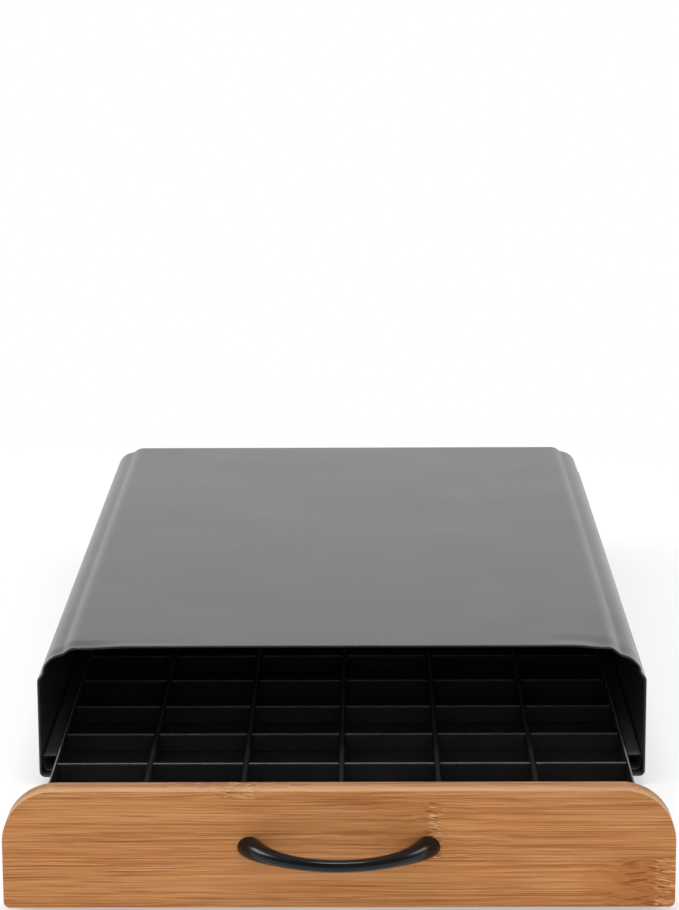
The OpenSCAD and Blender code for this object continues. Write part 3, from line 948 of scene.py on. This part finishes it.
def makeRearGlide(node, name, side):
    low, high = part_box(node)
    trayLow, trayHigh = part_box("drawer_pan")
    inner = trayHigh.x
    outer = max(abs(low.x), abs(high.x))
    reach = min(abs(low.x), abs(high.x))
    corners = [
        (inner, low.z, 0),
        (outer, low.z, glide["lowCorner"] * mm),
        (outer, high.z, glide["highCorner"] * mm),
        (inner, high.z, 0),
    ]
    outline = [(side * p.x, p.y) for p in filleted(corners, 6)]
    mesh = bmesh.new()
    slab(mesh, outline, low.y, high.y)
    peg = glide["peg"] * mm
    root = -glide["pegRoot"] * mm
    tip = inner - reach
    narrow = peg - glide["rearTip"] * mm
    profile = [(0, root), (peg, root), (peg, tip - glide["pegTip"] * mm), (narrow, tip), (0, tip)]
    pegHeight = trayLow.z + glide["pegUp"] * mm + peg
    for share in glide["pegShares"]:
        start = Vector((side * inner, low.y + share * (high.y - low.y), pegHeight))
        lathed(mesh, profile, start, Vector((-side, 0, 0)), glide["pegSides"])
    settle(mesh, name, "drawer", [node], nylon, glide["edge"], sharp=60)


makeShell()
makeBack()
makeSideRivets()
makeRunner("runner_left", "runnerLeft", -1)
makeRunner("runner_right", "runnerRight", 1)
makeBrace("front_brace", "frontBrace")
makeBrace("rear_brace", "rearBrace")
for row in ("front", "rear"):
    for hand in ("left", "right"):
        makeFoot(f"foot_{row}_{hand}", f"foot{row.title()}{hand.title()}")
makeFootRivets()
makeFrontGlide("front_glide_left", "frontGlideLeft")
makeFrontGlide("front_glide_right", "frontGlideRight")
makeRearGlide("rear_glide_left", "rearGlideLeft", -1)
makeRearGlide("rear_glide_right", "rearGlideRight", 1)
print("housing made")


tray = {
    "sheet": 1.0,  # mm
    "bend": 1.6,
    "edge": 0.25,
    "rimEdge": 0.05,  # rounding of the sheet before its edges are rounded
    "plateCorner": 3.0,  # upper corners of the front plate
    "smallCorner": 0.8,
}


def makeTray():
    low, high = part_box("drawer_pan")
    path = filleted([
        (high.x, high.z, 0),
        (high.x, low.z, tray["bend"] * mm),
        (low.x, low.z, tray["bend"] * mm),
        (low.x, high.z, 0),
    ])
    mesh = bmesh.new()
    bentSheet(mesh, path, tray["sheet"] * mm, low.y, high.y, tray["rimEdge"])
    settle(mesh, "drawerTray", "drawer", ["drawer_pan"], trayPaint, tray["edge"], sharp=60)


def makePlate(node, name, corner):
    low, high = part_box(node)
    outline = frontOutline(low, high, tray["smallCorner"], corner, 8)
    mesh = bmesh.new()
    slab(mesh, outline, low.y, high.y)
    settle(mesh, name, "drawer", [node], trayPaint, tray["edge"])


divider = {"slotGap": 0.15, "edge": 0.3, "longEdge": 0.12, "longRim": 0.85}  # mm


def named(start):
    # the frame's nodes of one kind, in order
    found = [n for n in frame["nodes"] if n.startswith(start)]
    return sorted(found, key=lambda n: int(n.rsplit("_", 1)[1]))


def notched(start, end, base, rim, slots, fromTop):
    # outline of a strip with slots to half its height
    half = (base + rim) / 2
    edge = rim if fromTop else base
    line = [(start, edge)]
    for low, high in slots:
        line += [(low, edge), (low, half), (high, half), (high, edge)]
    line.append((end, edge))
    far = base if fromTop else rim
    return line + [(end, far), (start, far)]


def slotsFor(crossings, axis):
    # where the crossing strips lie along an axis, with a gap on both sides
    gap = divider["slotGap"] * mm
    boxes = [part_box(other) for other in crossings]
    return [(low[axis] - gap, high[axis] + gap) for low, high in boxes]


def makeLongDivider(node, name, crossings):
    low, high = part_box(node)
    outline = notched(low.y, high.y, low.z, high.z, slotsFor(crossings, 1), False)
    mesh = bmesh.new()
    slab(mesh, outline, low.x, high.x, "yz")
    rim = []
    for edge in mesh.edges:
        one, other = [v.co for v in edge.verts]
        onTop = abs(one.z - high.z) < tiny and abs(other.z - high.z) < tiny
        if onTop and abs(one.x - other.x) < tiny:
            rim.append(edge)
    roundEdges(mesh, rim, divider["longRim"], 5)
    settle(mesh, name, "drawer", [node], longPaint, divider["longEdge"], steps=2, sharp=60)


def makeCrossDivider(node, name, crossings):
    low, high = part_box(node)
    outline = notched(low.x, high.x, low.z, high.z, slotsFor(crossings, 0), True)
    mesh = bmesh.new()
    slab(mesh, outline, low.y, high.y)
    settle(mesh, name, "drawer", [node], crossPaint, divider["edge"])


longOnes = named("long_divider_")
crossOnes = named("cross_divider_")
makeTray()
makePlate("pan_front_plate", "trayFrontPlate", tray["plateCorner"])
makePlate("pan_back_plate", "trayBackPlate", tray["smallCorner"])
for number, node in enumerate(longOnes):
    makeLongDivider(node, f"longDivider{number + 1}", crossOnes)
for number, node in enumerate(crossOnes):
    makeCrossDivider(node, f"crossDivider{number + 1}", longOnes)
print("tray and dividers made")


board = {"topCorner": 20.0, "lowCorner": 2.4, "frontEdge": 1.8, "backEdge": 0.9}  # mm


def makeBoard():
    low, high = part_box("bamboo_front")
    outline = frontOutline(low, high, board["lowCorner"], board["topCorner"], 20)
    mesh = bmesh.new()
    slab(mesh, outline, low.y, high.y)
    for at, radius, steps in ((low.y, board["frontEdge"], 6), (high.y, board["backEdge"], 4)):
        rim = [e for e in mesh.edges if all(abs(v.co.y - at) < tiny for v in e.verts)]
        roundEdges(mesh, rim, radius, steps)
    settle(mesh, "bambooFront", "drawer", ["bamboo_front"], boardBamboo)


handle = {
    "footWide": 8.6,  # mm, height of a foot
    "footDeep": 8.8,
    "barWide": 4.7,  # mm, height of the bar in the middle
    "barDeep": 5.4,
    "edge": 0.35,
    "flare": 2.6,  # how late the bar widens towards a foot
    "firstRadius": 30.0,  # mm, a first guess of the arc's radius
    "tries": 60,
    "goesOn": 12.0,  # degrees of the arc behind the board's face, which are cut off
    "rings": 120,
    "sides": 40,
}


def makeHandle():
    low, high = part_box("handle")
    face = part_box("bamboo_front")[0].y
    middleHeight = (low.z + high.z) / 2
    deepHalf = handle["barDeep"] * mm / 2
    rise = face - low.y - deepHalf
    footHalf = handle["footDeep"] * mm / 2
    # radius of the arc whose outer side meets the board at the node's width
    radius = handle["firstRadius"] * mm
    for _ in range(handle["tries"]):
        outer = radius + footHalf
        reach = math.sqrt(max(outer ** 2 - (radius - rise) ** 2, 0))
        radius += (high.x - reach) / 2
    meets = math.acos((radius - rise) / radius)
    span = meets + math.radians(handle["goesOn"])
    mesh = bmesh.new()
    loops = []
    for step in range(handle["rings"] + 1):
        angle = -span + 2 * span * step / handle["rings"]
        flare = min(1.0, abs(angle) / meets) ** handle["flare"]
        flare = (flare + eased(flare, 0, 1)) / 2
        deep = (handle["barDeep"] + (handle["footDeep"] - handle["barDeep"]) * flare) * mm / 2
        tall = (handle["barWide"] + (handle["footWide"] - handle["barWide"]) * flare) * mm / 2
        loop = []
        for side in range(handle["sides"]):
            turn = 2 * math.pi * side / handle["sides"]
            spoke = radius + deep * math.cos(turn)
            loop.append(mesh.verts.new((
                spoke * math.sin(angle),
                face + radius - rise - spoke * math.cos(angle),
                middleHeight + tall * math.sin(turn),
            )))
        loops.append(loop)
    tube(mesh, loops)
    everything = mesh.verts[:] + mesh.edges[:] + mesh.faces[:]
    cut = bmesh.ops.bisect_plane(
        mesh, geom=everything, plane_co=(0, face, 0), plane_no=(0, 1, 0), clear_outer=True)
    rims = [e for e in cut["geom_cut"] if isinstance(e, bmesh.types.BMEdge)]
    bmesh.ops.contextual_create(mesh, geom=rims)
    settle(mesh, "pullHandle", "drawer", ["handle"], handlePaint, handle["edge"], sharp=50)


screw = {
    "head": 3.5,  # mm, radius
    "headTall": 2.2,
    "rim": 0.55,  # height of the head's straight side
    "slant": 0.15,  # how much narrower the head is at its seat
    "slantTall": 0.2,
    "tip": 1.2,  # length of the shaft's tip
    "tipShare": 0.6,  # width of the tip's end, as a share of the shaft
    "woodShaft": 1.75,  # radius
    "handleShaft": 2.0,
    "cross": 3.9,  # length of the recess's arms, from end to end
    "slot": 1.05,
    "deep": 1.35,
    "dome": 0.999,  # width of the head's rounded top at its start, as a share of the head
    "narrowing": 0.55,  # width of the recess at its bottom, as a share
    "sides": 44,
}


def makeScrews(node, name, places, shaft):
    # pan heads with a cross recess, heads to the back, shafts to the front
    low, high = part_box(node)
    wide = screw["head"] * mm
    seat = high.y - screw["headTall"] * mm
    shoulder = seat + screw["rim"] * mm
    profile = [
        (0, low.y),
        (shaft * screw["tipShare"], low.y),
        (shaft, low.y + screw["tip"] * mm),
        (shaft, seat),
        (wide - screw["slant"] * mm, seat),
        (wide, seat + screw["slantTall"] * mm),
        (wide, shoulder),
    ]
    profile += dome(wide * screw["dome"], shoulder, high.y, 9)[1:]
    mesh = bmesh.new()
    lathed(mesh, profile, Vector((0, 0, 0)), Vector((0, 1, 0)), screw["sides"])
    long = screw["cross"] * mm / 2
    thin = screw["slot"] * mm / 2
    arm = [(thin, thin), (thin, long), (-thin, long)]
    plus = []
    for _ in range(4):
        plus += arm
        arm = [(-b, a) for a, b in arm]
    tool = bmesh.new()
    for corner in slab(tool, plus, high.y - screw["deep"] * mm, high.y + mm):
        corner.co.x *= screw["narrowing"]
        corner.co.z *= screw["narrowing"]
    pattern = bpy.data.meshes.new("screwPattern")
    shaped(mesh, [tool], "DIFFERENCE").to_mesh(pattern)
    every = bmesh.new()
    for x, z in places:
        start = len(every.verts)
        every.from_mesh(pattern)
        every.verts.ensure_lookup_table()
        for vertex in every.verts[start:]:
            vertex.co += Vector((x, 0, z))
    bpy.data.meshes.remove(pattern)
    settle(every, name, "drawer", [node], zinc, sharp=40, crisp=True)


def screwPlaces():
    low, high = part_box("front_screws")
    head = screw["head"] * mm
    columns = len(longOnes) + 1
    pitch = (high.x - low.x - 2 * head) / (columns - 1)
    first = low.x + head
    z = (low.z + high.z) / 2
    wood = [(first + k * pitch, z) for k in (0, 1, columns - 2, columns - 1)]
    low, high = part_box("handle_screws")
    z = (low.z + high.z) / 2
    return wood, [(low.x + head, z), (high.x - head, z)]


makeBoard()
makeHandle()
woodPlaces, handlePlaces = screwPlaces()
makeScrews("front_screws", "woodScrews", woodPlaces, screw["woodShaft"] * mm)
makeScrews("handle_screws", "handleScrews", handlePlaces, screw["handleShaft"] * mm)
print("front board, handle and screws made")


studio = {
    "floor": 9.0,  # metres from the middle to the edge
    "floorTone": paint(0.92, 0.92, 0.915),
    "shadowEnds": 0.42,  # metres from the object at which the floor turns to plain white
    "ambient": 0.62,
    "front": 0.34,  # how much more light comes from the camera's side
    "ahead": 0.18,  # what glossy surfaces see of the room behind the camera
    "overhead": 0.45,  # what they see of the ceiling
    "aim": (0, -0.15, 0.03),  # metres, where the softboxes point
}
softboxes = {
    "leftBox": {"at": (-1.15, -0.10, 0.85), "size": (0.55, 0.50), "watts": 6.0},
    "rightBox": {"at": (1.15, -0.12, 0.78), "size": (0.45, 0.40), "watts": 3.2},
    "topBox": {"at": (0.0, -0.3, 1.5), "size": (0.7, 0.18), "watts": 7.5},
}
white = paint(1, 1, 1)


def makeFloor():
    half = studio["floor"]
    data = bpy.data.meshes.new("floor")
    corners = [(-half, -half, 0), (half, -half, 0), (half, half, 0), (-half, half, 0)]
    data.from_pydata(corners, [], [(0, 1, 2, 3)])
    material = bpy.data.materials.new("floor")
    material.use_nodes = True
    r = Recipe(material.node_tree)
    x, y = r.split(r.add("TexCoord", output="Object"))[:2]
    # distance from the object's outline
    pastX = r.maths("MAXIMUM", r.size(x) - cadBox[1].x, 0.0)
    pastY = r.maths("MAXIMUM", r.size(y) - cadBox[1].y, 0.0)
    far = r.between(r.maths("SQRT", pastX * pastX + pastY * pastY), 0.0, studio["shadowEnds"], 0.45)
    path = r.add("LightPath")
    seen = path.out("Is Camera Ray") + path.out("Is Glossy Ray") + path.out("Is Transmission Ray")
    matte = r.add("BsdfDiffuse", {"Color": studio["floorTone"]})
    plain = r.add("Emission", {"Color": white, "Strength": 1.0})
    both = r.add("MixShader", {0: far * seen, 1: matte, 2: plain})
    # seen from below, the floor lets the object's underside show
    below = r.add("NewGeometry", output="Backfacing")
    clear = r.add("BsdfTransparent")
    oneSided = r.add("MixShader", {0: below, 1: both, 2: clear})
    r.add("OutputMaterial", {"Surface": oneSided})
    data.materials.append(material)
    placed("floor", data)


def makeWorld():
    world = bpy.data.worlds.new("studio")
    bpy.context.scene.world = world
    world.use_nodes = True
    r = Recipe(world.node_tree)
    y, z = r.split(r.add("TexCoord", output="Generated"))[1:]
    path = r.add("LightPath")
    front = r.between(y, 0.1, -0.7, 0.0, studio["front"]) + studio["ambient"]
    fill = r.add("Background", {"Color": white, "Strength": front})
    aside = r.between(y, -0.35, 0.15, studio["ahead"], 1.0)
    above = r.between(z, 0.55, 0.9, 1.0, studio["overhead"])
    glossy = r.add("Background", {"Color": white, "Strength": aside * above})
    shown = r.add("Background", {"Color": white, "Strength": 1.0})
    lit = r.add("MixShader", {0: path.out("Is Glossy Ray"), 1: fill, 2: glossy})
    clear = path.out("Is Camera Ray") + path.out("Is Transmission Ray")
    both = r.add("MixShader", {0: clear, 1: lit, 2: shown})
    r.add("OutputWorld", {"Surface": both})


def makeLights():
    aim = Vector(studio["aim"])
    for name, box in softboxes.items():
        lamp = bpy.data.lights.new(name, "AREA")
        lamp.shape = "RECTANGLE"
        lamp.size, lamp.size_y = box["size"]
        lamp.energy = box["watts"]
        lit = placed(name, lamp)
        lit.location = box["at"]
        lit.rotation_mode = "QUATERNION"
        lit.rotation_quaternion = (aim - Vector(box["at"])).to_track_quat("-Z", "Y")


makeFloor()
makeWorld()
makeLights()
bpy.context.scene.view_settings.view_transform = "Standard"
print("studio set")
